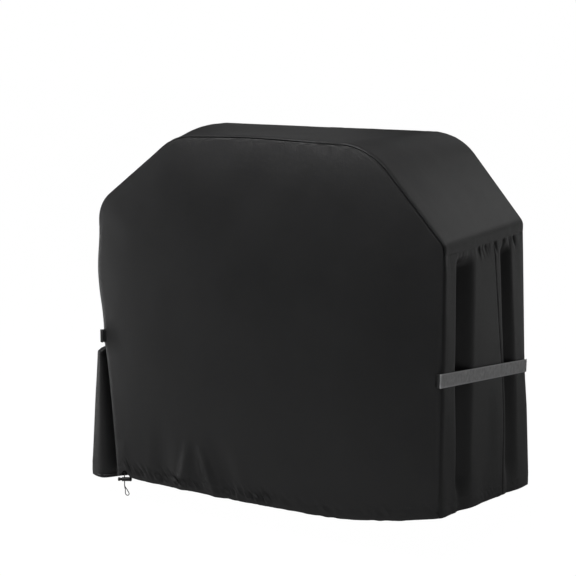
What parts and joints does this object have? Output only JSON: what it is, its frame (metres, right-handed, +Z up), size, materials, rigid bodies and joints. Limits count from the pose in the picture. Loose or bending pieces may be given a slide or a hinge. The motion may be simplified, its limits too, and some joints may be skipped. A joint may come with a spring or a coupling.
{
  "type": "grill cover",
  "caption": "Fitted black cloth cover for a cart grill, with sloped shoulders, side straps and a hem drawcord with a sprung cord lock.",
  "frame": {"origin": "middle of the underside of the top, where the cover rests on a grill's closed hood", "axes": "+X to the cover's right as seen from its front, +Y from front to back, +Z up"},
  "size_m": [1.4625, 0.684, 1.2906],
  "materials": {
    "cloth": "coated black woven cloth with a low sheen",
    "tape": "matt black binding tape",
    "webbing": "dark grey ribbed webbing",
    "hook_tape": "black hook-and-loop tape",
    "cord": "black braided cord",
    "lock_plastic": "black moulded plastic",
    "spring_steel": "bright spring wire"
  },
  "bodies": {
    "cover": {"front_panel": "cloth", "back_panel": "cloth", "top_panel": "cloth", "right_side_front_panel": "cloth", "left_side_front_panel": "cloth", "right_side_rear_panel": "cloth", "left_side_rear_panel": "cloth", "front_seam_binding": "tape", "rear_seam_binding": "tape", "right_shoulder_seam_binding": "tape", "left_shoulder_seam_binding": "tape", "right_side_seam_binding": "tape", "left_side_seam_binding": "tape", "front_hem_casing": "tape", "right_hem_casing": "tape", "back_hem_casing": "tape", "left_hem_casing": "tape", "front_end_hem_casing": "tape", "drawcord": "cord", "drawcord_loop": "cord", "right_strap_root": "webbing", "left_strap_root": "webbing", "right_hook_patch": "hook_tape", "left_hook_patch": "hook_tape"},
    "right_strap": {"right_strap": "webbing", "right_loop_patch": "hook_tape"},
    "left_strap": {"left_strap": "webbing", "left_loop_patch": "hook_tape"},
    "cord_lock": {"cord_lock_barrel": "lock_plastic", "cord_lock_spring": "spring_steel"},
    "lock_plunger": {"cord_lock_plunger": "lock_plastic"}
  },
  "joints": [
    {"name": "right_strap_peel", "type": "hinge", "parent": "cover", "child": "right_strap", "pos_m": [0.68406, 0.3168, -0.79368], "axis": [0, 0, 1], "range_deg": [0, 110]},
    {"name": "left_strap_peel", "type": "hinge", "parent": "cover", "child": "left_strap", "pos_m": [-0.67535, 0.3168, -0.79368], "axis": [0, 0, -1], "range_deg": [0, 110]},
    {"name": "cord_lock_slide", "type": "slide", "parent": "cover", "child": "cord_lock", "axis": [0, 0, -1], "range_m": [0, 0.01]},
    {"name": "plunger_press", "type": "slide", "parent": "cord_lock", "child": "lock_plunger", "axis": [0.866, 0.5, 0], "range_m": [0, 0.004], "stiffness_N_per_m": 800, "springref_m": -0.004, "deforming": ["cord_lock_spring"]}
  ]
}
